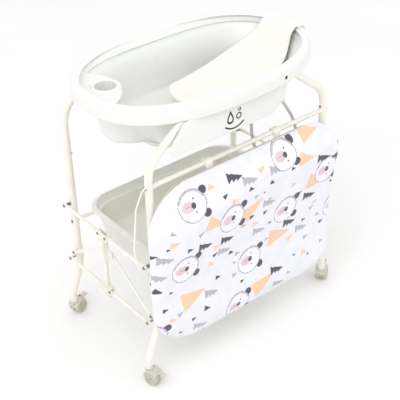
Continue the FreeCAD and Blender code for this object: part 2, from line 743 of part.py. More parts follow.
def padBoard():
    """Stiff board behind the cushion."""
    board = padOutline(padHalfX - boardInset, padLowZ + boardInset, padHighZ - boardTopInset,
                       padCorner - boardInset, boardBackY, boardThick)
    for x in (-clipX, clipX):
        board = board.cut(screwShanks(x))
    return board


def padClips():
    """Hooks on the pad bar; each has a strap screwed to the board."""
    clips = []
    for x in (-clipX, clipX):
        ring = cylinderX(clipRadius, x - clipWidth / 2, x + clipWidth / 2, -archY, padBarZ)
        strap = block(x - clipWidth / 2, x + clipWidth / 2, boardBackY, boardBackY + clipThick,
                      padBarZ - strapLength, padBarZ)
        clip = ring.fuse(strap)
        bore = cylinderX(padBarRadius + slideGap, x - clipWidth, x + clipWidth, -archY, padBarZ)
        mouth = block(x - clipWidth, x + clipWidth, -archY - 5, -archY + 40, padBarZ - 40, padBarZ - 4)
        clip = clip.cut(bore).cut(mouth)
        clips.append(clip.cut(screwShanks(x)))
    return Part.makeCompound(clips)


def screwShanks(x):
    """Bodies of the two screws of one clip."""
    shanks = [Part.makeCylinder(screwRadius, screwLength, Vector(x, boardBackY + clipThick, padBarZ - drop),
                                Vector(0, -1, 0)) for drop in screwDrops]
    return shanks[0].fuse(shanks[1])


def padScrews():
    """Screws with domed heads that hold the clips."""
    screws = []
    for x in (-clipX, clipX):
        for shank in screwShanks(x).Solids:
            z = shank.BoundBox.Center.z
            head = Part.makeCylinder(screwHeadRadius, 2.0, Vector(x, boardBackY + clipThick, z), Vector(0, 1, 0))
            screws.append(shank.fuse(head))
    return Part.makeCompound(screws)


# ---- build --------------------------------------------------------------
os.makedirs("parts", exist_ok=True)

save("front_arch", arch(-archY))
save("back_arch", arch(archY))
save("pad_bar", crossBar(-archY, padBarZ, padBarRadius))
save("front_tray_bar", crossBar(-archY, trayBarZ, trayBarRadius))
save("back_tray_bar", crossBar(archY, trayBarZ, trayBarRadius))
save("front_leg_clamps", legClamps(-archY))
save("back_leg_clamps", legClamps(archY))
save("front_frame_bolts", frameBolts(-archY, frontButtonZ, (padBarZ, trayBarZ)))
save("back_frame_bolts", frameBolts(archY, backButtonZ, (trayBarZ,)))
save("side_wire_rail", sideWireRail())

for side in ("left", "right"):
    backLegGap = runningGap if side == "left" else looseGap
    links = {"front_upper_link": link(-archY, -centreOffset, upperZ, runningGap, runningGap),
             "back_upper_link": link(archY, centreOffset, upperZ, backLegGap, runningGap),
             "front_lower_link": link(-archY, -centreOffset, lowerZ, runningGap, looseGap),
             "back_lower_link": link(archY, centreOffset, lowerZ, looseGap, runningGap)}
    for name, shape in links.items():
        save(side + "_" + name, onSide(shape, side))
    for end in ("front", "back"):
        save(side + "_" + end + "_brace", onSide(onEnd(brace(-archY, -centreOffset), end), side))
    save(side + "_centre_post", onSide(centrePost(), side))
    save(side + "_joint_bracket", onSide(jointBracket(), side))
    save(side + "_foot_pedal", onSide(footPedal(), side))
    save(side + "_lock_sleeve", onSide(lockSleeve(), side))
    save(side + "_joint_rivets", onSide(jointRivets(), side))

for corner in casterYaw:
    save("caster_" + corner + "_housing", placed(casterHousing(), corner))
    save("caster_" + corner + "_wheels", placed(casterWheels(), corner))
    save("caster_" + corner + "_axle", placed(casterAxle(), corner))
    save("caster_" + corner + "_brake", placed(casterBrake(), corner))

save("tub_shell", tubShell())
save("drain_spigot", drainSpigot())
save("drain_plug", drainPlug())
save("drain_hose", drainHose())
save("hose_clip", hoseClip())
save("bath_support", bathSupport())
save("storage_tray", storageTray())
save("pad_cushion", padCushion())
save("pad_board", padBoard())
save("pad_clips", padClips())
save("pad_screws", padScrews())
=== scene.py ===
import json
import math

import bmesh
import bpy
import numpy as np
from mathutils import Matrix, Vector


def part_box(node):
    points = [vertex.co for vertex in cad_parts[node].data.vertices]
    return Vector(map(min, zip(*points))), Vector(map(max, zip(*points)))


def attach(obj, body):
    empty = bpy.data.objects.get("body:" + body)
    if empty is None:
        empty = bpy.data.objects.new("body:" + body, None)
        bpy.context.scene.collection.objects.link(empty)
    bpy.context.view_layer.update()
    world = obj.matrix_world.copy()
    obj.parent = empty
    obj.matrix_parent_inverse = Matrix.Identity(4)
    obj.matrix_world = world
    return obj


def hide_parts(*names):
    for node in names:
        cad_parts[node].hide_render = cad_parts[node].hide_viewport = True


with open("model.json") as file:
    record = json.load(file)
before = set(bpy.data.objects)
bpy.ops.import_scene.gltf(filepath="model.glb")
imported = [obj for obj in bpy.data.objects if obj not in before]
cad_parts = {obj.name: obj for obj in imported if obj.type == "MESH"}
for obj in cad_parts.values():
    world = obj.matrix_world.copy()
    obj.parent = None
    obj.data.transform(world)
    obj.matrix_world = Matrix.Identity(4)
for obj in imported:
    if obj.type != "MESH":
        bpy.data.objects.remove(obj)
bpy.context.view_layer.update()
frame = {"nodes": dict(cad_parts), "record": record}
nodes = frame["nodes"]
mm = 0.001  # everything below is in metres, sizes are written in mm times this


def addObject(name, data):
    piece = bpy.data.objects.new(name, data)
    bpy.context.scene.collection.objects.link(piece)
    return piece


def meshPiece(name, bm, material, smoothAngle=40):
    mesh = bpy.data.meshes.new(name)
    bm.to_mesh(mesh)
    bm.free()
    mesh.materials.append(material)
    piece = addObject(name, mesh)
    smoothByAngle(piece, smoothAngle)
    return piece


def smoothByAngle(piece, angle):
    mesh = piece.data
    mesh.shade_smooth()
    bm = bmesh.new()
    bm.from_mesh(mesh)
    limit = math.radians(angle)
    for edge in bm.edges:
        edge.smooth = len(edge.link_faces) == 2 and edge.calc_face_angle(0) < limit
    bm.to_mesh(mesh)
    bm.free()


def applyModifiers(piece):
    bpy.context.view_layer.update()
    shown = piece.evaluated_get(bpy.context.evaluated_depsgraph_get())
    mesh = bpy.data.meshes.new_from_object(shown)
    piece.modifiers.clear()
    piece.data = mesh


def orientFaces(bm, distance=1e-6):
    bmesh.ops.remove_doubles(bm, verts=bm.verts, dist=distance)
    bmesh.ops.recalc_face_normals(bm, faces=bm.faces)


def toLinear(hexColour):
    channels = [int(hexColour[i:i + 2], 16) / 255 for i in (0, 2, 4)]
    return [c / 12.92 if c <= 0.04045 else ((c + 0.055) / 1.055) ** 2.4 for c in channels] + [1.0]


def addNode(tree, kind, sockets=None, **options):
    node = tree.nodes.new("ShaderNode" + kind)
    for name, value in options.items():
        setattr(node, name, value)
    for name, value in (sockets or {}).items():
        if isinstance(value, bpy.types.NodeSocket):
            tree.links.new(value, node.inputs[name])
        else:
            node.inputs[name].default_value = value
    return node


cameraLook = {
    "place": (-1.6762, -2.1050, 2.2416),
    "turn": -38.7,  # degrees about Z, from looking along +Y
    "down": 34.0,
    "roll": -1.4,
    "lens": 84.74,
    "sensor": 36.0,
}


def makeCamera():
    data = bpy.data.cameras.new("studioCamera")
    data.lens = cameraLook["lens"]
    data.sensor_width = cameraLook["sensor"]
    data.clip_end = 50
    camera = addObject("studioCamera", data)
    turn = Matrix.Rotation(math.radians(cameraLook["turn"]), 4, "Z")
    tip = Matrix.Rotation(math.radians(90 - cameraLook["down"]), 4, "X")
    roll = Matrix.Rotation(math.radians(cameraLook["roll"]), 4, "Z")
    camera.matrix_world = Matrix.Translation(cameraLook["place"]) @ turn @ tip @ roll
    bpy.context.scene.camera = camera


makeCamera()
print("camera placed")


def startMaterial(name, shader):
    material = bpy.data.materials.new(name)
    material.use_nodes = True
    tree = material.node_tree
    tree.nodes.clear()
    principled = addNode(tree, "BsdfPrincipled", shader)
    addNode(tree, "OutputMaterial", {"Surface": principled.outputs[0]})
    return material, tree, principled


def placeCoords(tree):
    return addNode(tree, "TexCoord").outputs["Object"]


def perMetre(sizeMm):
    return 1 / (sizeMm * mm)


def noiseValue(tree, coords, sizeMm, detail=2.0):
    noise = addNode(tree, "TexNoise", {"Vector": coords, "Scale": perMetre(sizeMm), "Detail": detail})
    return noise.outputs["Fac"]


def mixColour(tree, factor, first, second):
    mix = addNode(tree, "Mix", data_type="RGBA")
    for socket, value in ((0, factor), (6, first), (7, second)):
        if isinstance(value, bpy.types.NodeSocket):
            tree.links.new(value, mix.inputs[socket])
        else:
            mix.inputs[socket].default_value = value
    return mix.outputs[2]


def spread(tree, value, low, high, toLow, toHigh):
    ranged = addNode(tree, "MapRange", {"Value": value, "From Min": low, "From Max": high,
                                        "To Min": toLow, "To Max": toHigh})
    return ranged.outputs["Result"]


def addBump(tree, principled, height, heightMm):
    bump = addNode(tree, "Bump", {"Height": height, "Distance": heightMm * mm, "Strength": 1.0})
    tree.links.new(bump.outputs["Normal"], principled.inputs["Normal"])


def surfaceDetail(tree, principled, look):
    coords = placeCoords(tree)
    patches = noiseValue(tree, coords, look["patchMm"], 3.0)
    factor = spread(tree, patches, 0.35, 0.65, 0.0, 1.0)
    colour = mixColour(tree, factor, toLinear(look["colour"]), toLinear(look["shade"]))
    tree.links.new(colour, principled.inputs["Base Color"])
    rough = spread(tree, noiseValue(tree, coords, look["patchMm"] * 0.4), 0.3, 0.7, *look["rough"])
    tree.links.new(rough, principled.inputs["Roughness"])
    addBump(tree, principled, noiseValue(tree, coords, look["grainMm"], 3.0), look["grainHeightMm"])


def powderCoat():
    # powder coated steel tube: satin cream with a faint orange peel, drawn coarser than the real 1 mm
    look = {"colour": "F1EEE5", "shade": "ECE8DD", "patchMm": 60, "rough": (0.30, 0.40),
            "grainMm": 3.0, "grainHeightMm": 0.05}
    material, tree, principled = startMaterial("powderCoatedSteel", {"IOR": 1.5, "Coat Weight": 0.15,
                                                                     "Coat Roughness": 0.25})
    surfaceDetail(tree, principled, look)
    return material


def mouldedPlastic(name, look, **shader):
    material, tree, principled = startMaterial(name, {"IOR": 1.49, **shader})
    surfaceDetail(tree, principled, look)
    return material


def zincSteel():
    # zinc plated steel rivets and screws: dull silver with grey blotches
    look = {"colour": "A9A59D", "shade": "85817A", "patchMm": 4, "rough": (0.30, 0.48),
            "grainMm": 0.8, "grainHeightMm": 0.02}
    material, tree, principled = startMaterial("zincPlatedSteel", {"Metallic": 1.0})
    surfaceDetail(tree, principled, look)
    return material


def hoseVinyl():
    # soft vinyl hose: milky grey, slightly see-through, glossy
    look = {"colour": "DCDCE3", "shade": "D2D2DA", "patchMm": 25, "rough": (0.18, 0.28),
            "grainMm": 5, "grainHeightMm": 0.1}
    material, tree, principled = startMaterial("softVinyl", {"IOR": 1.53, "Subsurface Weight": 0.3,
                                                             "Subsurface Scale": 0.004})
    surfaceDetail(tree, principled, look)
    return material


def hardboard():
    # wood fibre board with a pale paper face: fine fibres and a few darker flecks
    material, tree, principled = startMaterial("paperFacedHardboard", {"Roughness": 0.8})
    coords = placeCoords(tree)
    stretched = addNode(tree, "Mapping", {"Vector": coords, "Scale": (1.0, 1.0, 4.0)}).outputs[0]
    fibres = spread(tree, noiseValue(tree, stretched, 3.0, 6.0), 0.35, 0.7, 0.0, 1.0)
    colour = mixColour(tree, fibres, toLinear("D8D0C0"), toLinear("C2B8A4"))
    tree.links.new(colour, principled.inputs["Base Color"])
    addBump(tree, principled, fibres, 0.1)
    return material


tubLook = {"colour": "EBECEA", "shade": "E8E9E6", "patchMm": 260, "rough": (0.26, 0.34),
           "grainMm": 4, "grainHeightMm": 0.03}
supportLook = {"colour": "F3F2EA", "shade": "EEEDE4", "patchMm": 120, "rough": (0.38, 0.46),
               "grainMm": 2.2, "grainHeightMm": 0.05}
trayLook = {"colour": "E6E6DF", "shade": "E0E1D8", "patchMm": 200, "rough": (0.36, 0.46),
            "grainMm": 2.5, "grainHeightMm": 0.05}
fittingLook = {"colour": "F2F0E9", "shade": "ECE9E1", "patchMm": 20, "rough": (0.40, 0.50),
               "grainMm": 1.6, "grainHeightMm": 0.04}
casterLook = {"colour": "D6D2C6", "shade": "CBC6B8", "patchMm": 18, "rough": (0.38, 0.50),
              "grainMm": 1.6, "grainHeightMm": 0.04}
treadLook = {"colour": "C9C4B6", "shade": "B9B3A4", "patchMm": 12, "rough": (0.50, 0.65),
             "grainMm": 1.2, "grainHeightMm": 0.06}

finishes = {
    "powder_coated_steel": powderCoat(),
    # injection moulded polypropylene, smooth and a little waxy
    "tub_plastic": mouldedPlastic("glossPolypropylene", tubLook, **{"Subsurface Weight": 0.08,
                                                                    "Subsurface Scale": 0.006}),
    # polypropylene from a fine sanded mould: softer shine, warmer white
    "support_plastic": mouldedPlastic("sandedPolypropylene", supportLook, **{"Subsurface Weight": 0.08,
                                                                             "Subsurface Scale": 0.006}),
    # greyer polypropylene with a fine grain
    "tray_plastic": mouldedPlastic("grainedPolypropylene", trayLook),
    # glass filled nylon fittings: dry, even sheen
    "fitting_plastic": mouldedPlastic("mouldedNylon", fittingLook),
    "caster_plastic": mouldedPlastic("casterNylon", casterLook),
    # soft rubbery tread, duller and darker than the housing
    "caster_tread": mouldedPlastic("softTreadRubber", treadLook),
    "zinc_steel": zincSteel(),
    "hose_vinyl": hoseVinyl(),
    "board": hardboard(),
}


# The print of the pad.
# Each motif stands on +X, as the mat lies with its head end there. Places are (x, z) in mm on the mat.

motifs = {
    "bears": [(-248, 668), (-104, 560), (140, 474), (-280, 438), (-4, 330), (-62, 170), (120, 700),
              (310, 568), (385, 385), (-395, 190)],
    "darkTrees": [(-78, 700), (292, 625), (-205, 500), (-112, 478), (172, 405), (250, 486), (118, 232)],
    "greyTrees": [(-28, 672), (80, 668), (60, 545), (-350, 505), (-372, 440), (-118, 432), (30, 440),
                  (235, 350), (-168, 280), (-220, 172), (130, 165)],
    "peachLarge": [(-20, 555, 46), (262, 540, 44), (118, 372, 50), (-250, 300, 50), (45, 205, 50),
                   (-178, 575, 40), (205, 655, 36), (240, 735, 40)],
    "peachSmall": [(20, 690, 15), (-170, 700, 14), (-98, 625, 15), (-325, 560, 18), (-158, 470, 15),
                   (-175, 400, 15), (5, 480, 15), (160, 570, 14), (285, 440, 14), (180, 330, 16),
                   (245, 240, 16), (-330, 250, 14)],
    "darkSmall": [(-130, 655, 11), (-30, 640, 12), (-270, 515, 12), (-345, 545, 8), (-395, 520, 18),
                  (-378, 385, 17), (-330, 360, 8), (-355, 300, 12), (-250, 215, 10), (-160, 435, 12),
                  (-90, 405, 12), (-140, 325, 12), (-15, 520, 12), (45, 510, 11), (60, 625, 12),
                  (150, 640, 10), (240, 380, 10), (330, 330, 11), (340, 610, 10), (200, 250, 7),
                  (265, 225, 7), (-70, 350, 6), (30, 600, 6), (-60, 590, 7), (-195, 230, 14),
                  (75, 450, 8), (-40, 260, 9), (200, 520, 8), (350, 500, 9), (-300, 180, 8)],
    "greySmall": [(-230, 560, 13), (-50, 500, 12), (-60, 385, 13), (-70, 300, 12), (-300, 260, 13),
                  (-200, 130, 14), (60, 560, 10), (70, 380, 11), (255, 300, 13), (270, 420, 12),
                  (310, 370, 12), (330, 520, 12), (360, 660, 12), (-5, 600, 11), (-330, 600, 11),
                  (170, 190, 11), (330, 250, 10), (0, 140, 12)],
    "bearSize": 52,
    "treeSize": 30,
    "outline": 0.9,  # half of the drawn line, mm
}


padCloth = {
    "threadMm": 1.508,  # drawn about three times as coarse as a real thread, so that it shows
    "cloudMm": 45, "reliefMm": 0.12,
    "ground": "EDEDF3", "cloud": "E7E7EF",
}


def padBase(name):
    # wipe-clean laminated polyester: tight plain weave under a satin film
    material, tree, principled = startMaterial(name, {"IOR": 1.45, "Roughness": 0.55, "Sheen Weight": 0.15,
                                                      "Sheen Roughness": 0.4})
    coords = placeCoords(tree)
    weaveScale = perMetre(padCloth["threadMm"]) * math.pi / 10  # a wave repeats every pi / 10
    waves = []
    for axis in ("X", "Z"):
        wave = addNode(tree, "TexWave", {"Vector": coords, "Scale": weaveScale,
                                         "Distortion": 0.6, "Detail": 1.0}, bands_direction=axis)
        waves.append(wave.outputs["Fac"])
    weave = addNode(tree, "Math", {0: waves[0], 1: waves[1]}, operation="MAXIMUM").outputs[0]
    cloud = noiseValue(tree, coords, padCloth["cloudMm"], 3.0)
    height = addNode(tree, "Math", {0: weave, 1: cloud, 2: 0.0}, operation="MULTIPLY_ADD").outputs[0]
    addBump(tree, principled, height, padCloth["reliefMm"])
    clouded = spread(tree, cloud, 0.35, 0.65, 0.0, 1.0)
    ground = mixColour(tree, clouded, toLinear(padCloth["ground"]), toLinear(padCloth["cloud"]))
    return material, tree, principled, ground


padInks = {"peach": "EFCBA9", "grey": "B9B5C0", "face": "EFEEF3", "shade": "CFC3CC", "pink": "DFC9CC",
           "line": "6E6772", "dark": "55525C"}  # in printing order


def printedCover():
    # screen printed inks lie on the cover; each ink's edge is where its distance passes nought
    material, tree, principled, colour = padBase("printedLaminatedCover")
    for ink in padInks:
        distance = addNode(tree, "Attribute", attribute_name="ink_" + ink).outputs["Fac"]
        if ink == "line":
            # the outline is where the signed distance passes nought, wobbled by the tufts of fur
            wobble = spread(tree, noiseValue(tree, placeCoords(tree), 5, 2.0), 0.3, 0.7, -1.2, 1.2)
            wobbled = addNode(tree, "Math", {0: distance, 1: wobble}, operation="ADD").outputs[0]
            either = addNode(tree, "Math", {0: wobbled}, operation="ABSOLUTE").outputs[0]
            drawn = addNode(tree, "Math", {0: either, 1: motifs["outline"]}, operation="SUBTRACT")
            distance = drawn.outputs[0]
        edge = spread(tree, distance, -0.3, 0.3, 1.0, 0.0)
        inkColour = toLinear(padInks[ink])
        if ink == "peach":
            dots = addNode(tree, "TexVoronoi", {"Vector": placeCoords(tree), "Scale": perMetre(9)})
            dotted = spread(tree, dots.outputs["Distance"], 0.16, 0.22, 1.0, 0.0)
            inkColour = mixColour(tree, dotted, toLinear(padInks[ink]), toLinear("F8E3CE"))
        colour = mixColour(tree, edge, colour, inkColour)
    tree.links.new(colour, principled.inputs["Base Color"])
    return material


def plainCover():
    material, tree, principled, colour = padBase("plainLaminatedCover")
    tree.links.new(colour, principled.inputs["Base Color"])
    return material


def printedMarkInk():
    # pad printed ink on the tub: flat black, slightly rough
    look = {"colour": "1B1B1D", "shade": "252527", "patchMm": 12, "rough": (0.45, 0.55),
            "grainMm": 1.5, "grainHeightMm": 0.02}
    return mouldedPlastic("padPrintInk", look)


finishes["pad_fabric"] = printedCover()
coverPlain = plainCover()
markInk = printedMarkInk()

for part in frame["record"]["subparts"]:
    node = nodes[part["node"]]
    material = finishes[part["material_slot"]]
    if node.data.materials:
        node.data.materials[0] = material
    else:
        node.data.materials.append(material)
print("materials made")


hose = {
    # mm, from the spigot down, round and up to its clip
    "route": [(128, -128, 750), (128, -128.5, 705), (138, -134, 645), (158, -140, 583),
              (192, -146, 533), (238, -150, 513), (284, -151, 531), (312, -149, 577), (320, -146, 635),
              (306, -144, 692), (276, -146, 741), (247, -150, 782)],
    "diameter": 11.0,
    "length": 603.7,
}


def makeHose():
    curve = bpy.data.curves.new("drainHose", "CURVE")
    curve.dimensions = "3D"
    spline = curve.splines.new("NURBS")
    spline.points.add(len(hose["route"]) - 1)
    for point, place in zip(spline.points, hose["route"]):
        point.co = (*(c * mm for c in place), 1)
    spline.order_u = 3
    spline.use_endpoint_u = True
    spline.resolution_u = 12
    curve.bevel_depth = hose["diameter"] / 2 * mm
    curve.bevel_resolution = 6
    curve.use_fill_caps = True
    curve.materials.append(finishes["hose_vinyl"])
    piece = addObject("drainHose", curve)
    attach(piece, "tub")
    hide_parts("drain_hose")


makeHose()
print("hose laid")


def ringEdges(bm, ring):
    return [bm.edges.get((ring[i], ring[(i + 1) % len(ring)])) for i in range(len(ring))]


def loftRings(bm, count, places, capFirst=True, capLast=True):
    # a closed tube of rings: places[k](i) gives vertex i of ring k
    made = bmesh.ops.create_circle(bm, segments=count, radius=1)
    ring = sorted(made["verts"], key=lambda v: math.atan2(v.co.y, v.co.x) % (2 * math.pi))
    for i, vert in enumerate(ring):
        vert.co = places[0](i)
    if capFirst:
        bmesh.ops.contextual_create(bm, geom=ring)
    for place in places[1:]:
        grown = bmesh.ops.extrude_edge_only(bm, edges=ringEdges(bm, ring))
        fresh = {g for g in grown["geom"] if isinstance(g, bmesh.types.BMVert)}
        ring = [next(e.other_vert(v) for e in v.link_edges if e.other_vert(v) in fresh) for v in ring]
        for i, vert in enumerate(ring):
            vert.co = place(i)
    if capLast:
        bmesh.ops.contextual_create(bm, geom=ring)
    bmesh.ops.recalc_face_normals(bm, faces=bm.faces)


def cutAway(piece, bm):
    # takes the closed shape in bm out of the piece
    cutter = meshPiece("cutter", bm, finishes["tub_plastic"])
    cut = piece.modifiers.new("cut", "BOOLEAN")
    cut.operation = "DIFFERENCE"
    cut.solver = "EXACT"
    cut.object = cutter
    applyModifiers(piece)
    bpy.data.objects.remove(cutter)


def spunProfile(profile, centre, steps=48):
    # profile of (radius, height) in metres, turned once about an upright axis
    bm = bmesh.new()
    verts = [bm.verts.new((r, 0, z)) for r, z in profile]
    edges = [bm.edges.new(pair) for pair in zip(verts, verts[1:])]
    bmesh.ops.spin(bm, geom=verts + edges, cent=(0, 0, 0), axis=(0, 0, 1), angle=2 * math.pi,
                   steps=steps, use_merge=True)
    orientFaces(bm)
    bmesh.ops.translate(bm, verts=bm.verts, vec=centre)
    return bm


tub = {
    "segments": 240,
    "rim": (410, 268, 2.4),  # half length, half width, squareness
    "skirtLow": 920,
    "mainLow": (262, 176, 3.6), "mainTop": (380, 204, 2.8), "mainZ": (802, 975),
    "lobeLow": (352, 120, 2.5), "lobeTop": (377, 180, 2.5), "lobeZ": (845, 975),
    "shelf": 950, "shelfBoss": (-402, 70, 142),  # the shelf is the end of a round boss
    "cup": (-306, 46), "cupRadius": 33, "cupDepth": 77,
    "soften": 22,  # higher gives a sharper groove where the two parts of the basin meet
    "groove": (-0.927, -0.375), "grooveDepth": 9, "grooveWidth": 0.075,  # beside the cup, on the outside
    "archY": 224, "archGap": 15.5,
    "archWay": (262, 888.7), "archWayLength": 150, "archTilt": 128,  # middle (x, z), length, slope
}


def tubDirection(i):
    angle = 2 * math.pi * i / tub["segments"]
    a, b, _ = tub["rim"]
    length = math.hypot(a * math.cos(angle), b * math.sin(angle))
    return a * math.cos(angle) / length, b * math.sin(angle) / length


def ovalReach(direction, oval):
    a, b, power = oval
    return ((abs(direction[0]) / a) ** power + (abs(direction[1]) / b) ** power) ** (-1 / power)


def between(low, high, heights, z):
    share = (z - heights[0]) / (heights[1] - heights[0])
    return [u + (v - u) * share for u, v in zip(low, high)]


def joinedReach(direction, first, second):
    n = tub["soften"]
    return (ovalReach(direction, first) ** n + ovalReach(direction, second) ** n) ** (1 / n)


def ovalRing(z, a, b, power=None):
    oval = (a, b, power or tub["rim"][2])

    def place(i):
        d = tubDirection(i)
        r = ovalReach(d, oval)
        return Vector((d[0] * r * mm, d[1] * r * mm, z * mm))
    return place


def bossReach(direction):
    # distance to the round boss of the cup shelf, looking out from the middle of the tub
    x, y, radius = tub["shelfBoss"]
    along = direction[0] * x + direction[1] * y
    inside = along * along - x * x - y * y + radius * radius
    return along - math.sqrt(inside) if inside > 0 and along > 0 else None


def basinRing(z, inset=0.0, lobeShare=1.0, shrink=0.0, flare=0.0, boss=None):
    # flare widens the sides only; boss keeps the ring off the cup shelf by that much
    main = between(tub["mainLow"], tub["mainTop"], tub["mainZ"], max(z, tub["mainZ"][0]))
    lobe = between(tub["lobeLow"], tub["lobeTop"], tub["lobeZ"], max(z, tub["lobeZ"][0]))
    lobe[0] = main[0] + (lobe[0] - main[0]) * lobeShare
    main = (main[0] - shrink + flare * 0.4, main[1] - shrink + flare, main[2])
    lobe = (lobe[0] - shrink + flare * 0.4, lobe[1] - shrink + flare, lobe[2])

    def place(i):
        d = tubDirection(i)
        r = joinedReach(d, main, lobe) - inset
        if inset <= 0 and z < 930:
            offGroove = math.hypot(d[0] - tub["groove"][0], d[1] - tub["groove"][1]) / tub["grooveWidth"]
            r -= tub["grooveDepth"] * math.exp(-offGroove ** 2)
        wall = bossReach(d) if boss is not None else None
        if wall:
            r = (r ** -40 + (wall - boss) ** -40) ** (-1 / 40)  # a soft turn from shelf to wall
        return Vector((d[0] * r * mm, d[1] * r * mm, z * mm))
    return place


def tubRings():
    # up the outside of the basin
    rings = [ovalRing(780, 120, 80, 2.6), ovalRing(780, 232, 146, 3.2), ovalRing(780.8, 246, 160, 3.4),
             ovalRing(784, 256, 170, 3.6), ovalRing(792, 261, 175, 3.6), ovalRing(798, 262, 176, 3.6)]
    rings += [basinRing(799.5, lobeShare=0.05), basinRing(800, lobeShare=0.55, shrink=2),
              basinRing(801.5, lobeShare=0.80), basinRing(806, lobeShare=0.92),
              basinRing(815, lobeShare=0.98)]
    rings += [basinRing(z) for z in (828, 850, 880, 905, 918)]
    flares = ((930, 4), (941, 9), (945, 14), (951, 24), (959, 34), (964, 43))
    rings += [basinRing(z, flare=f) for z, f in flares]
    # out under the rim, down inside its skirt and up the outside
    rings += [ovalRing(967, 398, 254), ovalRing(966.4, 403, 260), ovalRing(964, 405, 262.6),
              ovalRing(958, 406, 264), ovalRing(940, 406, 264), ovalRing(922.6, 406, 264),
              ovalRing(920.6, 406.5, 264.5), ovalRing(920, 407.6, 265.6), ovalRing(920.2, 409, 267),
              ovalRing(921.4, 409.8, 267.8), ovalRing(924, 410, 268)]
    rings += [ovalRing(z, a, b) for z, a, b in (
        (938, 410.2, 268.2), (950, 410, 268), (956, 409.2, 267.2), (961, 407.6, 265.4), (965.4, 405.2, 262.8),
        (969, 402, 259.2), (971.4, 398.6, 255.2), (972.6, 395, 251), (973, 391.6, 247), (972.4, 388.4, 243),
        (970.8, 385.4, 239.2), (968, 382.4, 235.2))]
    # down the inside: a smooth flare, then the wall round the cup shelf
    rings += [basinRing(963, 4, flare=33), basinRing(957.6, 4, flare=26.5), basinRing(954, 4, flare=23)]
    rings += [basinRing(951.4, 5, flare=20.6), basinRing(950.2, 8, flare=19.8),
              basinRing(950, 12, flare=19.6),
              basinRing(949.9, 4, flare=19.6, boss=-9), basinRing(949.6, 4, flare=19.4, boss=-3),
              basinRing(948.4, 4, flare=18.4, boss=-0.6), basinRing(945.6, 4, flare=16, boss=0.4)]
    rings += [basinRing(z, 4, flare=f, boss=b) for z, f, b in (
        (941, 12.6, 0.8), (934, 8.4, 1.4), (926, 5.2, 2), (916, 2.6, 3), (904, 1, 4), (890, 0, 5.4),
        (870, 0, 7.6), (850, 0, 10), (830, 0, 13))]
    rings += [basinRing(815, 5, lobeShare=0.6, boss=17), basinRing(808, 7, lobeShare=0.2, boss=20)]
    rings += [ovalRing(801, 256, 170, 3.5), ovalRing(792, 250, 164, 3.5), ovalRing(786.6, 242, 156, 3.4),
              ovalRing(784.4, 232, 146, 3.3), ovalRing(784, 218, 132, 3.1), ovalRing(784, 120, 80, 2.6)]
    return rings


def makeTub():
    bm = bmesh.new()
    loftRings(bm, tub["segments"], tubRings())
    piece = meshPiece("tubShell", bm, finishes["tub_plastic"], 50)
    x, y = (c * mm for c in tub["cup"])
    radius = tub["cupRadius"] * mm
    low = (tub["shelf"] - tub["cupDepth"]) * mm
    turn = 7 * mm
    pocket = [(0, low), (radius * 0.5, low), (radius - turn, low), (radius - turn * 0.3, low + turn * 0.3),
              (radius, low + turn), (radius, 980 * mm), (0, 980 * mm)]
    cutAway(piece, spunProfile(pocket, (x, y, 0)))
    cutArchWays(piece)
    smoothByAngle(piece, 50)
    finishTubPart(piece, "tub_shell")
    base = tub["shelf"]
    ring = [(36.6, 5.2), (39.6, 6.2), (42, 5.4), (44, 2.8), (46, 0.9), (49, 0), (49, -2), (34, -2), (33.1, 0),
            (33.5, 2.6), (34.8, 4.4), (36.6, 5.2)]
    lip = meshPiece("cupRecessLip", spunProfile([(r * mm, (base + z) * mm) for r, z in ring], (x, y, 0)),
                    finishes["tub_plastic"], 60)
    finishTubPart(lip)


def cutArchWays(piece):
    # room in the skirt for the two arches, where they run in under the rim
    radius = tub["archGap"] * mm
    wayX, wayZ = tub["archWay"]
    tilt = math.radians(tub["archTilt"])
    for side in (-1, 1):
        for end in (-1, 1):
            bm = bmesh.new()
            bmesh.ops.create_cone(bm, cap_ends=True, segments=32, radius1=radius, radius2=radius,
                                  depth=tub["archWayLength"] * mm)
            bmesh.ops.rotate(bm, verts=bm.verts, cent=(0, 0, 0),
                             matrix=Matrix.Rotation(side * tilt, 3, "Y"))
            middle = (side * wayX * mm, end * tub["archY"] * mm, wayZ * mm)
            bmesh.ops.translate(bm, verts=bm.verts, vec=middle)
            cutAway(piece, bm)


def finishTubPart(piece, node=None):
    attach(piece, "tub")
    if node:
        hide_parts(node)


makeTub()
print("tub made")


apron = {
    "outline": [(-200, 966), (-200, 921), (-236, 921), (-296, 846), (-280, 823), (110, 823), (160, 860),
                (176, 921), (176, 966)],  # (x, z) in mm, on a flat face
    "rounds": [3, 3, 12, 14, 12, 34, 34, 12, 3],
    "inner": 241, "thick": 4, "edge": 1.4,
}
mark = {
    "centre": (-48, 868),  # mm on the apron
    "dropHeight": 46, "dropWidth": 30,
    "lift": 0.15, "film": 0.25,  # ink stands this far off the face
}
tubScrew = {"x": 152, "z": 941, "radius": 6.0, "height": 3.0, "ring": 8.6,
            "turn": 9}  # degrees about Z, to sit square on the oval skirt


def roundedOutline(corners, rounds, steps=7):
    # the same arcs as a sheet metal cutter would run round the corners
    loop = []
    for i, corner in enumerate(corners):
        here = Vector(corner)
        before = (Vector(corners[i - 1]) - here).normalized()
        after = (Vector(corners[(i + 1) % len(corners)]) - here).normalized()
        half = before.angle(after) / 2
        middle = here + (before + after).normalized() * (rounds[i] / math.sin(half))
        first = here + before * (rounds[i] / math.tan(half)) - middle
        sweep = first.angle_signed(here + after * (rounds[i] / math.tan(half)) - middle)
        for k in range(steps + 1):
            turn = Matrix.Rotation(-sweep * k / steps, 2)
            loop.append(middle + turn @ first)
    return loop


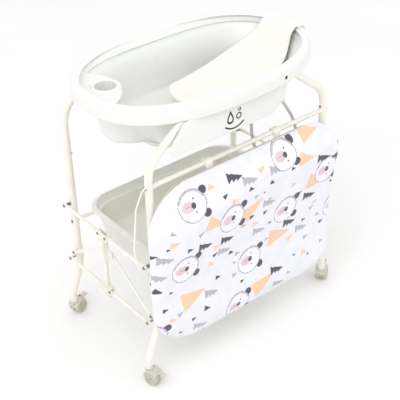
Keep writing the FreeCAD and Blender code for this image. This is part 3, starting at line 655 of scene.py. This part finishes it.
def makeAprons():
    loop = roundedOutline(apron["outline"], apron["rounds"])
    for end, name in ((-1, "frontApron"), (1, "backApron")):
        bm = bmesh.new()
        ring = [bm.verts.new((p.x * mm, end * apron["inner"] * mm, p.y * mm)) for p in loop]
        face = bm.faces.new(ring)
        moved = bmesh.ops.extrude_face_region(bm, geom=[face])["geom"]
        outer = [g for g in moved if isinstance(g, bmesh.types.BMVert)]
        bmesh.ops.translate(bm, verts=outer, vec=(0, end * apron["thick"] * mm, 0))
        bmesh.ops.recalc_face_normals(bm, faces=bm.faces)
        rims = [e for e in bm.edges if e.calc_face_angle(0) > 1]
        bmesh.ops.bevel(bm, geom=rims, offset=apron["edge"] * mm, segments=3, profile=0.5, affect="EDGES",
                        material=-1)
        finishTubPart(meshPiece(name, bm, finishes["tub_plastic"], 40))


def flatShape(outline, holes=()):
    # ink film on the front apron; outline and holes of (x, z) in mm
    bm = bmesh.new()
    front = -(apron["inner"] + apron["thick"] + mark["lift"]) * mm
    edges = []
    for loop in (outline, *holes):
        verts = [bm.verts.new((x * mm, front, z * mm)) for x, z in loop]
        edges += [bm.edges.new((verts[i], verts[(i + 1) % len(verts)])) for i in range(len(verts))]
    bmesh.ops.triangle_fill(bm, edges=edges, use_beauty=True, use_dissolve=False)
    moved = bmesh.ops.extrude_face_region(bm, geom=list(bm.faces))["geom"]
    outer = [g for g in moved if isinstance(g, bmesh.types.BMVert)]
    bmesh.ops.translate(bm, verts=outer, vec=(0, -mark["film"] * mm, 0))
    bmesh.ops.recalc_face_normals(bm, faces=bm.faces)
    return bm


def circleLoop(x, z, radius, count=28):
    return [(x + radius * math.cos(2 * math.pi * i / count), z + radius * math.sin(2 * math.pi * i / count))
            for i in range(count)]


def dropLoop(x, z, width, height, count=36):
    # a water drop: round below, drawn to a point above
    loop = []
    for i in range(count):
        angle = 2 * math.pi * i / count
        taper = math.sin(angle / 2) ** 1.6
        loop.append((x + width / 2 * math.sin(angle) * taper * 1.25, z + height / 2 * math.cos(angle)))
    return loop


def arcBand(x, z, radius, thick, start, end, count=24):
    angles = [math.radians(start + (end - start) * i / count) for i in range(count + 1)]
    outer = [(x + radius * math.cos(a), z + radius * math.sin(a)) for a in angles]
    less = radius - thick
    inner = [(x + less * math.cos(a), z + less * math.sin(a)) for a in reversed(angles)]
    return outer + inner


def makeMark():
    x, z = mark["centre"]
    w, h = mark["dropWidth"], mark["dropHeight"]
    shapes = {
        "markDrop": flatShape(dropLoop(x - 14, z + 8, w, h), [dropLoop(x - 14, z + 5, w - 11, h - 19)]),
        "markBubbleLarge": flatShape(circleLoop(x + 19, z + 3, 11), [circleLoop(x + 19, z + 3, 7)]),
        "markBubbleSmall": flatShape(circleLoop(x + 22, z + 24, 6), [circleLoop(x + 22, z + 24, 3.2)]),
        "markWave": flatShape(arcBand(x + 2, z + 22, 58, 5, 228, 312)),
    }
    for name, bm in shapes.items():
        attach(meshPiece(name, bm, markInk), "tub")


def makeTubScrew():
    # dark domed screw on the skirt, in a raised plastic ring
    r, h = tubScrew["radius"], tubScrew["height"]
    a, b, power = tub["rim"]
    y = -b * (1 - (tubScrew["x"] / a) ** power) ** (1 / power)
    dome = [(0, h), (r * 0.45, h * 0.93), (r * 0.8, h * 0.66), (r, h * 0.2), (r, -2), (0, -2)]
    seat = tubScrew["ring"]
    ring = [(r, 0.4), (r + 0.6, 1.4), (seat - 0.8, 1.2), (seat, 0), (seat, -2), (r, -2), (r, 0.4)]
    turn = math.radians(tubScrew["turn"])
    turned = (("tubScrew", dome, markInk), ("tubScrewSeat", ring, finishes["tub_plastic"]))
    for name, profile, material in turned:
        bm = spunProfile([(u * mm, v * mm) for u, v in profile], (0, 0, 0), 32)
        bmesh.ops.rotate(bm, verts=bm.verts, cent=(0, 0, 0), matrix=Matrix.Rotation(math.radians(90), 3, "X"))
        bmesh.ops.rotate(bm, verts=bm.verts, cent=(0, 0, 0), matrix=Matrix.Rotation(turn, 3, "Z"))
        bmesh.ops.translate(bm, verts=bm.verts, vec=(tubScrew["x"] * mm, y * mm, tubScrew["z"] * mm))
        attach(meshPiece(name, bm, material), "tub")


makeAprons()
makeMark()
makeTubScrew()
print("aprons, mark and screw made")


support = {
    "stations": [(-66, 840, 14, 3), (-63, 838.5, 40, 10), (-54, 837, 62, 14), (-30, 835, 82, 15),
                 (36, 831, 100, 15), (130, 834, 116, 15), (215, 855, 116, 15), (290, 888, 102, 13),
                 (330, 922, 80, 10), (348, 956, 72, 6), (368, 980, 71, 3), (384, 984.5, 73, 1),
                 (398, 983, 75, 0), (410, 978, 76, 0), (415, 967, 76, 0)],
    # x, z, half width and dish in mm
    "dishPower": 2.2, "thick": 4.6, "across": 22, "rows": 6,
}


def smoothStation(stations, t):
    # Catmull-Rom through the stations
    last = len(stations) - 1
    i = min(int(t * last), last - 1)
    u = t * last - i
    points = [stations[max(0, min(last, i + k))] for k in (-1, 0, 1, 2)]
    return [0.5 * (2 * p1 + (p2 - p0) * u + (2 * p0 - 5 * p1 + 4 * p2 - p3) * u * u
                   + (3 * p1 - p0 - 3 * p2 + p3) * u ** 3) for p0, p1, p2, p3 in zip(*points)]


def makeSupport():
    bm = bmesh.new()
    rows = support["rows"] * (len(support["stations"]) - 1)
    bmesh.ops.create_grid(bm, x_segments=rows, y_segments=support["across"] * 2, size=1)
    for vert in bm.verts:
        x, z, half, dish = smoothStation(support["stations"], (vert.co.x + 1) / 2 * 0.99999)
        share = vert.co.y
        lift = dish * abs(share) ** support["dishPower"]
        vert.co = Vector((x * mm, share * half * mm, (z + lift) * mm))
    bmesh.ops.recalc_face_normals(bm, faces=bm.faces)
    piece = meshPiece("bathSupport", bm, finishes["support_plastic"], 60)
    wall = piece.modifiers.new("wall", "SOLIDIFY")
    wall.thickness = support["thick"] * mm
    wall.offset = -1 if piece.data.polygons[0].normal.z > 0 else 1
    edge = piece.modifiers.new("edge", "BEVEL")
    edge.width = 1.6 * mm
    edge.segments = 3
    edge.limit_method = "ANGLE"
    applyModifiers(piece)
    smoothByAngle(piece, 50)
    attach(piece, "bath_support")
    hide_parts("bath_support")


makeSupport()
print("bath support made")


tray = {
    "rim": (322, 236), "rimZ": 440, "low": (288, 193), "lowZ": 330, "wall": 3.5, "lip": 16,
    "rimCorner": 90, "lowCorner": 65, "perSide": 14, "perCorner": 16,
    "stepZ": 414, "step": 6,
}


def roundedPoint(i, a, b, corner):
    # vertex i of a rounded rectangle, with the same share of vertices on each side and corner
    side, turn = tray["perSide"], tray["perCorner"]
    each = side + turn
    quarter, k = divmod(i, each)
    quarter %= 4
    along, across = (b, a) if quarter % 2 == 0 else (a, b)
    straight = along - corner
    if k < side:
        p = Vector((across, -straight + 2 * straight * k / side, 0))
    else:
        angle = math.pi / 2 * (k - side) / turn
        p = Vector((across - corner + corner * math.cos(angle), straight + corner * math.sin(angle), 0))
    return Matrix.Rotation(math.pi / 2 * quarter, 3, "Z") @ p


def trayRing(z, a, b, corner):
    def place(i):
        p = roundedPoint(i, a, b, corner)
        return Vector((p.x * mm, p.y * mm, z * mm))
    return place


def traySize(z, inset=0.0):
    share = (z - tray["lowZ"]) / (tray["rimZ"] - tray["lowZ"])
    a = tray["low"][0] + (tray["rim"][0] - tray["lip"] - tray["low"][0]) * share - inset
    b = tray["low"][1] + (tray["rim"][1] - tray["low"][1]) * share - inset
    corner = tray["lowCorner"] + (tray["rimCorner"] - tray["lowCorner"]) * share - inset
    return a, b, corner


def wallRing(z, inset=0.0):
    return trayRing(z, *traySize(z, inset))


def makeTray():
    a, b = tray["rim"]
    w = tray["wall"]
    c = tray["rimCorner"]
    la, lb = tray["low"]
    lc = tray["lowCorner"]
    step, stepZ = tray["step"], tray["stepZ"]
    rings = [trayRing(330, la - 40, lb - 40, lc - 25), trayRing(330, la - 9, lb - 9, lc - 9),
             trayRing(330.8, la - 4, lb - 4, lc - 4), trayRing(333, la - 1.2, lb - 1.2, lc - 1),
             wallRing(337)]
    rings += [wallRing(z) for z in (360, 390, 412, 428)]
    rings += [wallRing(433), trayRing(434.5, a - 12, b - 1.2, c - 4), trayRing(434.6, a - 4, b - 1, c),
              trayRing(435.4, a - 1, b - 0.4, c), trayRing(437.4, a, b, c),
              trayRing(439.2, a - 0.8, b - 0.8, c), trayRing(440, a - 2.6, b - 2, c - 2),
              trayRing(440, a - tray["lip"] - w, b - w - 0.5, c - 6)]
    rings += [wallRing(438.8, w), wallRing(434, w + 0.6), wallRing(stepZ + 3, w + 0.8),
              wallRing(stepZ + 0.6, w + 2), wallRing(stepZ, w + step),
              wallRing(stepZ - 1.2, w + step + 1.6), wallRing(stepZ - 6, w + step + 2)]
    rings += [wallRing(z, w + step + 2) for z in (390, 365, 348)]
    rings += [wallRing(340, w + step + 4), wallRing(335.5, w + step + 8), wallRing(333.8, w + step + 13),
              trayRing(333.5, la - 45, lb - 45, lc - 28)]
    bm = bmesh.new()
    loftRings(bm, 4 * (tray["perSide"] + tray["perCorner"]), rings)
    piece = meshPiece("storageTray", bm, finishes["tray_plastic"], 50)
    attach(piece, "tray")
    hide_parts("storage_tray")


makeTray()
print("tray made")


padLow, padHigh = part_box("pad_cushion")
pad = {
    "corners": {"topLeft": 165, "topRight": 120, "lowRight": 105, "lowLeft": 190},
    "edge": 11, "crest": 56, "valley": 17, "lowCrest": 30,  # thicknesses in mm
    "crestLeft": 600, "crestRight": 662,  # heights of the upper raised side
    "valleyZ": 330, "lowCrestZ": 190,
    "voxel": 5.2, "pressure": 4.0, "cap": 7.0, "frames": 20,
    "seamDepth": 1.6, "seamWidth": 5.0,
}


def padExtent():
    # middle and half size of the pad, in mm
    low, high = padLow / mm, padHigh / mm
    midX, midZ = (low.x + high.x) / 2, (low.z + high.z) / 2
    halfX, halfZ = (high.x - low.x) / 2, (high.z - low.z) / 2
    return midX, midZ, halfX, halfZ


def padDistance(x, z):
    # how far inside the pad's outline, in mm; x and z are arrays in mm
    midX, midZ, halfX, halfZ = padExtent()
    c = pad["corners"]
    corner = np.where(z > midZ, np.where(x < midX, c["topLeft"], c["topRight"]),
                      np.where(x < midX, c["lowLeft"], c["lowRight"]))
    qx = np.abs(x - midX) - halfX + corner
    qz = np.abs(z - midZ) - halfZ + corner
    outside = np.hypot(np.maximum(qx, 0), np.maximum(qz, 0))
    return corner - outside - np.minimum(np.maximum(qx, qz), 0)


def eased(share):
    share = np.clip(share, 0, 1)
    return 0.55 * share * share * (3 - 2 * share) + 0.45 * share


def padThickness(x, z):
    # front of the pad over its back, in mm
    top, bottom = padHigh.z / mm, padLow.z / mm
    lean = np.clip((x + 260) / 330, 0, 1)
    crestZ = pad["crestLeft"] + (pad["crestRight"] - pad["crestLeft"]) * lean * lean * (3 - 2 * lean)
    upper = pad["edge"] + (pad["crest"] - pad["edge"]) * eased((top - z) / (top - crestZ))
    middle = pad["crest"] + (pad["valley"] - pad["crest"]) * eased((crestZ - z) / (crestZ - pad["valleyZ"]))
    lower = pad["valley"] + (pad["lowCrest"] - pad["valley"]) * eased(
        (pad["valleyZ"] - z) / (pad["valleyZ"] - pad["lowCrestZ"]))
    foot = pad["lowCrest"] + (pad["edge"] - pad["lowCrest"]) * eased(
        (pad["lowCrestZ"] - z) / (pad["lowCrestZ"] - bottom))
    body = np.where(z > crestZ, upper, np.where(z > pad["valleyZ"], middle,
                                                np.where(z > pad["lowCrestZ"], lower, foot)))
    inside = np.clip(padDistance(x, z) / 150, 0, 1)
    rise = np.sin(inside * math.pi / 2) ** 0.8
    leftEnd = np.clip((260 + x) / 60, 0, 1)  # the right end keeps its full height
    rise = rise + (1 - rise) * leftEnd * np.clip(padDistance(x, z) / 10, 0, 1)
    return pad["edge"] + np.maximum(body - pad["edge"], 0) * rise


def padPoint(u, v):
    # squeezes a square grid, -1 to 1 both ways, into the rounded outline
    midX, midZ, halfX, halfZ = padExtent()
    x, z = midX + u * halfX, midZ + v * halfZ
    reach = max(abs(u), abs(v))
    if reach < 1e-6:
        return x, z
    edgeX, edgeZ = midX + u / reach * halfX, midZ + v / reach * halfZ
    lowShare, highShare = 0.5, 1.0
    for _ in range(24):
        share = (lowShare + highShare) / 2
        inside = padDistance(midX + (edgeX - midX) * share, midZ + (edgeZ - midZ) * share) > 0
        lowShare, highShare = (share, highShare) if inside else (lowShare, share)
    return midX + (x - midX) * lowShare, midZ + (z - midZ) * lowShare


def padBlank():
    # flat closed form of the cushion before it swells
    bm = bmesh.new()
    bmesh.ops.create_grid(bm, x_segments=120, y_segments=96, size=1)
    for vert in bm.verts:
        x, z = padPoint(vert.co.x, vert.co.y)
        vert.co = Vector((x * mm, padHigh.y, z * mm))
    front = bmesh.ops.extrude_face_region(bm, geom=list(bm.faces))["geom"]
    for vert in (g for g in front if isinstance(g, bmesh.types.BMVert)):
        x, z = vert.co.x / mm, vert.co.z / mm
        vert.co.y = padHigh.y - float(padThickness(np.float64(x), np.float64(z))) * mm
    bmesh.ops.recalc_face_normals(bm, faces=bm.faces)
    return bm


def inflate(piece):
    # even mesh, then air pressure without gravity, with each point's travel capped
    remesh = piece.modifiers.new("even", "REMESH")
    remesh.mode = "VOXEL"
    remesh.voxel_size = pad["voxel"] * mm
    applyModifiers(piece)
    before = vertexArray(piece.data)
    cloth = piece.modifiers.new("air", "CLOTH")
    cloth.settings.use_pressure = True
    cloth.settings.uniform_pressure_force = pad["pressure"]
    cloth.settings.effector_weights.gravity = 0
    scene = bpy.context.scene
    for step in range(1, pad["frames"] + 1):
        scene.frame_set(step)
    applyModifiers(piece)
    moved = vertexArray(piece.data) - before
    length = np.linalg.norm(moved, axis=1)
    cap = pad["cap"] * mm
    moved *= (np.minimum(length, cap) / np.maximum(length, 1e-9))[:, None]
    after = before + moved
    after[:, 1] = np.minimum(after[:, 1], padHigh.y)
    piece.data.vertices.foreach_set("co", after.ravel())
    scene.frame_set(1)
    finer = piece.modifiers.new("finer", "SUBSURF")
    finer.levels = 1
    finer.render_levels = 1
    applyModifiers(piece)


def vertexArray(mesh):
    co = np.zeros(len(mesh.vertices) * 3)
    mesh.vertices.foreach_get("co", co)
    return co.reshape(-1, 3)


def triangleInk(u, v, base, height):
    # distance to a triangle with its base at nought and its tip up
    slope = math.hypot(height, base / 2)
    sides = (height * np.abs(v) + base / 2 * u - base / 2 * height) / slope
    return np.maximum(sides, -u)


def discInk(u, v, across, up):
    return (np.hypot(u / up, v / across) - 1) * min(across, up)


def treeInk(u, v, size):
    distance = np.full_like(u, 1e3)
    for k, (start, width) in enumerate(((-1.0, 1.25), (-0.45, 1.0), (0.05, 0.75))):
        lean = 0.12 * (k - 1)
        tier = triangleInk(u - start * size, v - lean * size, width * size, 0.85 * size)
        distance = np.minimum(distance, tier)
    return distance


def paint(inks, name, distance):
    inks[name] = np.minimum(inks[name], distance)


def paintBear(inks, u, v, size):
    head = discInk(u, v, size, size * 0.94)
    ears = [discInk(u - size * 0.86, v - side * size * 0.72, size * 0.27, size * 0.27) for side in (-1, 1)]
    paint(inks, "dark", np.maximum(np.minimum(*ears), -head + 1))
    paint(inks, "face", head)
    paint(inks, "line", head)
    paint(inks, "shade", np.maximum(np.abs(head + 3.4) - 3.2, size * 0.30 + v))
    muzzleU = u + size * 0.30
    paint(inks, "pink", discInk(muzzleU, v, size * 0.34, size * 0.42))
    paint(inks, "dark", discInk(u - size * 0.08, v, size * 0.20, size * 0.15))
    paint(inks, "dark", np.maximum(np.abs(v) - motifs["outline"], np.abs(u + size * 0.22) - size * 0.24))
    for side in (-1, 1):
        paint(inks, "dark", discInk(u - size * 0.16, v - side * size * 0.42, 3.0, 3.0))


def paintPrint(piece):
    # fabric coordinates: the cloth runs over the raised sides, so lengths are measured along its surface
    co = vertexArray(piece.data) / mm
    x, z = co[:, 0], co[:, 2]
    heights = np.linspace(padLow.z / mm, padHigh.z / mm, 240)
    columns = np.linspace(padLow.x / mm, padHigh.x / mm, 48)
    gridX, gridZ = np.meshgrid(columns, heights)
    thick = padThickness(gridX, gridZ)
    run = np.hypot(np.diff(heights)[:, None], np.diff(thick, axis=0))
    cloth = np.vstack([np.zeros(len(columns)), np.cumsum(run, axis=0)])
    middle = len(heights) // 3
    cloth = cloth - cloth[middle] + heights[middle]
    column = np.clip((x - columns[0]) / (columns[1] - columns[0]), 0, len(columns) - 1.001)
    row = np.clip((z - heights[0]) / (heights[1] - heights[0]), 0, len(heights) - 1.001)
    c0, r0 = column.astype(int), row.astype(int)
    cf, rf = column - c0, row - r0
    along = ((cloth[r0, c0] * (1 - cf) + cloth[r0, c0 + 1] * cf) * (1 - rf)
             + (cloth[r0 + 1, c0] * (1 - cf) + cloth[r0 + 1, c0 + 1] * cf) * rf)
    inks = {name: np.full(len(x), 50.0) for name in padInks}
    for bx, bz in motifs["bears"]:
        paintBear(inks, x - bx, bz - along, motifs["bearSize"])
    for group, ink in (("darkTrees", "dark"), ("greyTrees", "grey")):
        for tx, tz in motifs[group]:
            paint(inks, ink, treeInk(x - tx, tz - along, motifs["treeSize"]))
    for group, ink in (("peachLarge", "peach"), ("peachSmall", "peach"), ("darkSmall", "dark"),
                       ("greySmall", "grey")):
        for k, (tx, tz, size) in enumerate(motifs[group]):
            turn = math.radians((k * 47) % 60 - 30)
            u = (x - tx) * math.cos(turn) + (tz - along) * math.sin(turn)
            v = (tz - along) * math.cos(turn) - (x - tx) * math.sin(turn)
            paint(inks, ink, triangleInk(u + size * 0.8, v, size * 1.5, size * 2))
    for name, distance in inks.items():
        layer = piece.data.attributes.new("ink_" + name, "FLOAT", "POINT")
        layer.data.foreach_set("value", np.clip(distance, -20, 20).astype(np.float32))


def makePad():
    piece = meshPiece("padCushion", padBlank(), finishes["pad_fabric"])
    piece.data.materials.append(coverPlain)
    inflate(piece)
    co = vertexArray(piece.data)
    rim = padDistance(co[:, 0] / mm, co[:, 2] / mm)
    frontness = (padHigh.y - co[:, 1]) / mm
    seam = np.exp(-((rim - 9) / pad["seamWidth"]) ** 2) * (frontness > 6)
    co[:, 1] += seam * pad["seamDepth"] * mm
    piece.data.vertices.foreach_set("co", co.ravel())
    paintPrint(piece)
    normals = np.zeros(len(piece.data.polygons) * 3)
    piece.data.polygons.foreach_get("normal", normals)
    plain = normals.reshape(-1, 3)[:, 1] > -0.25  # side walls and back are unprinted
    piece.data.polygons.foreach_set("material_index", plain.astype(np.int32))
    piece.data.shade_smooth()
    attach(piece, "pad")
    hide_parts("pad_cushion")


makePad()
print("pad made")


studio = {
    "floor": 14.0,
    "sky": 1.0,
    "key": {"place": (-2.6, -1.6, 4.2), "size": 2.6, "power": 60},
    "fill": {"place": (3.0, -2.6, 2.6), "size": 3.0, "power": 10},
}


def makeStudio():
    bm = bmesh.new()
    bmesh.ops.create_grid(bm, x_segments=2, y_segments=2, size=studio["floor"] / 2)
    floorLook = {"colour": "F7F7F7", "shade": "F3F3F3", "patchMm": 900, "rough": (0.7, 0.8),
                 "grainMm": 30, "grainHeightMm": 0.01}
    floor = meshPiece("studioFloor", bm, mouldedPlastic("paleStudioFloor", floorLook))
    world = bpy.data.worlds.new("studioSky")
    world.use_nodes = True
    world.node_tree.nodes["Background"].inputs["Color"].default_value = (1, 1, 1, 1)
    world.node_tree.nodes["Background"].inputs["Strength"].default_value = studio["sky"]
    bpy.context.scene.world = world
    for name in ("key", "fill"):
        data = bpy.data.lights.new(name + "Light", "AREA")
        data.size = studio[name]["size"]
        data.energy = studio[name]["power"]
        light = addObject(name + "Light", data)
        light.location = studio[name]["place"]
        light.rotation_euler = (Vector((0, 0, 0.5)) - light.location).to_track_quat("-Z", "Y").to_euler()
    bpy.context.scene.view_settings.view_transform = "Standard"


makeStudio()
print("studio lit")
